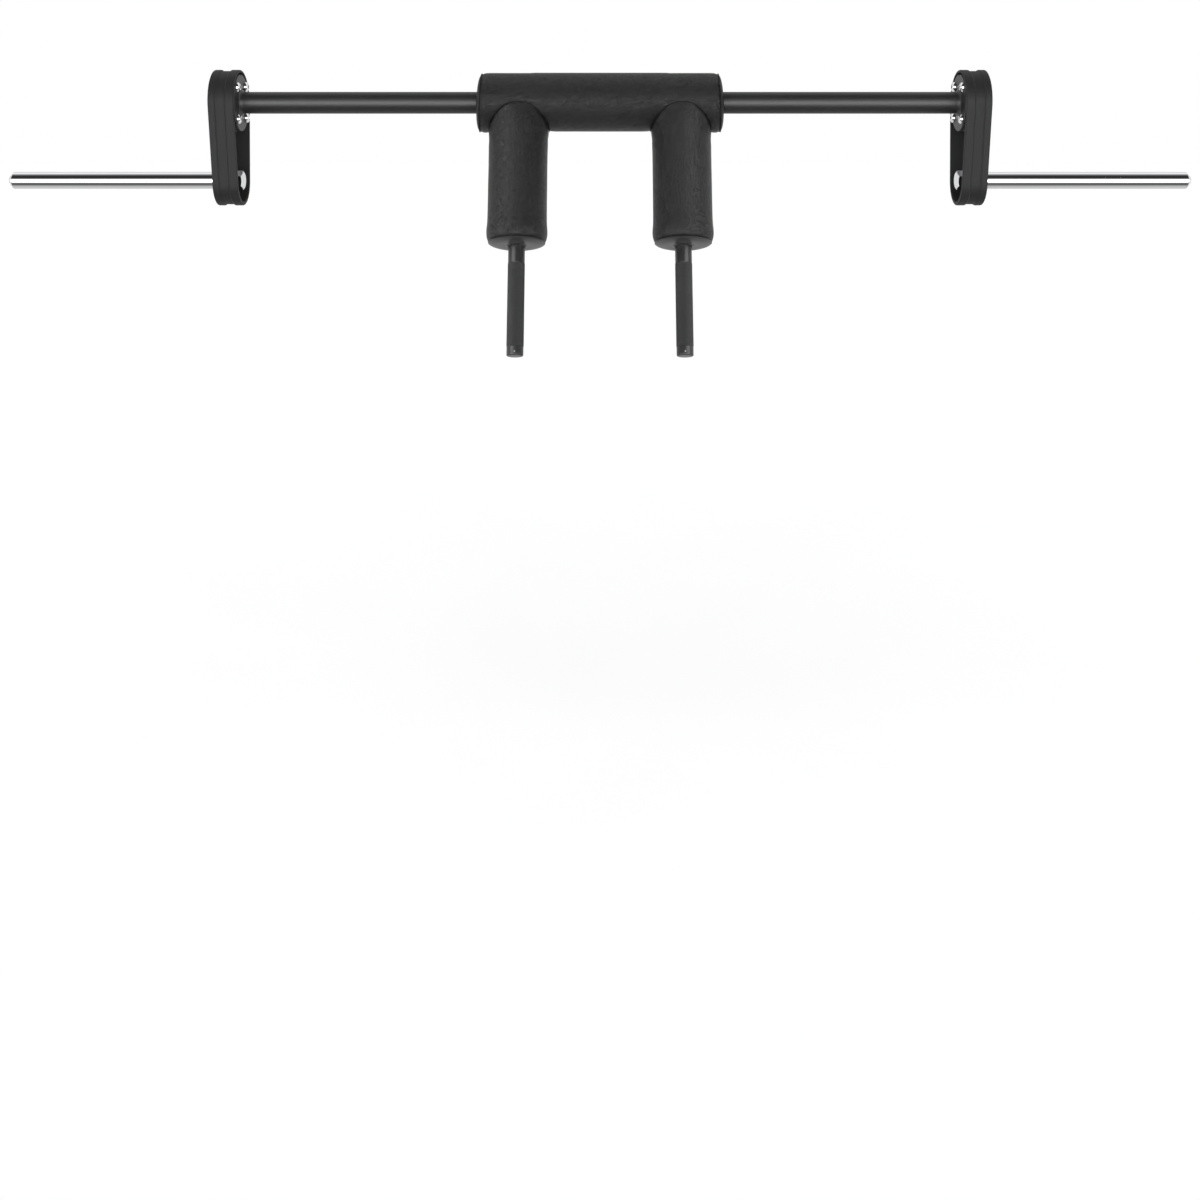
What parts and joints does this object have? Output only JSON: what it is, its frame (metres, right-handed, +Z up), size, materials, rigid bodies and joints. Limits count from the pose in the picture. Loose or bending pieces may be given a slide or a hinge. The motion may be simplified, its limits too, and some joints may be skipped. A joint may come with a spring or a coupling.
{
  "type": "safety squat bar",
  "caption": "Padded yoke bar for squats: straight shaft, neck and shoulder pads, forward handles, and dropped end links that carry turning sleeves.",
  "frame": {"origin": "middle of the shaft's axis, where the bar is carried between the hooks of a rack", "axes": "+X along the bar to the right end, +Z up, handles down and forward to -Y"},
  "size_m": [2.075, 0.2355, 0.4772],
  "materials": {
    "black_powder_coat": "satin black powder coat with a fine texture",
    "grip_steel": "matt black, diamond knurl on the grips",
    "chrome": "bright chrome plate",
    "zinc_plate": "clear zinc plate",
    "bronze": "plain turned bronze",
    "moulded_band": "satin black moulding",
    "leatherette": "black grained leatherette over foam",
    "panel_vinyl": "smooth black vinyl panel",
    "foam": "dark closed-cell foam, hidden"
  },
  "bodies": {
    "frame": {"shaft_tube": "black_powder_coat", "neck_foam": "foam", "neck_cover": "leatherette", "left_neck_cap": "leatherette", "right_neck_cap": "leatherette", "left_yoke_arm": "grip_steel", "right_yoke_arm": "grip_steel", "left_handle_plug": "grip_steel", "right_handle_plug": "grip_steel", "left_plug_pin": "zinc_plate", "right_plug_pin": "zinc_plate", "left_leg_foam": "foam", "right_leg_foam": "foam", "left_leg_cover": "leatherette", "right_leg_cover": "leatherette", "left_leg_cap": "panel_vinyl", "right_leg_cap": "panel_vinyl", "left_tube_flange": "black_powder_coat", "right_tube_flange": "black_powder_coat", "left_hub_spacer": "black_powder_coat", "right_hub_spacer": "black_powder_coat", "left_link_plate": "chrome", "right_link_plate": "chrome", "left_edge_band": "moulded_band", "right_edge_band": "moulded_band", "left_flange_bolt_1": "chrome", "left_flange_bolt_2": "chrome", "left_flange_bolt_3": "chrome", "left_flange_bolt_4": "chrome", "right_flange_bolt_1": "chrome", "right_flange_bolt_2": "chrome", "right_flange_bolt_3": "chrome", "right_flange_bolt_4": "chrome", "left_flange_nut_1": "zinc_plate", "left_flange_nut_2": "zinc_plate", "left_flange_nut_3": "zinc_plate", "left_flange_nut_4": "zinc_plate", "right_flange_nut_1": "zinc_plate", "right_flange_nut_2": "zinc_plate", "right_flange_nut_3": "zinc_plate", "right_flange_nut_4": "zinc_plate", "left_bearing_housing": "zinc_plate", "right_bearing_housing": "zinc_plate", "left_inner_bush": "bronze", "right_inner_bush": "bronze", "left_outer_bush": "bronze", "right_outer_bush": "bronze"},
    "left_sleeve_body": {"left_sleeve": "chrome", "left_sleeve_washer": "chrome", "left_sleeve_bolt": "chrome"},
    "right_sleeve_body": {"right_sleeve": "chrome", "right_sleeve_washer": "chrome", "right_sleeve_bolt": "chrome"}
  },
  "joints": [
    {"name": "left_sleeve_spin", "type": "hinge", "parent": "frame", "child": "left_sleeve_body", "pos_m": [-0.84, 0, -0.136], "axis": [1, 0, 0], "continuous": true},
    {"name": "right_sleeve_spin", "type": "hinge", "parent": "frame", "child": "right_sleeve_body", "pos_m": [0.84, 0, -0.136], "axis": [1, 0, 0], "continuous": true}
  ]
}
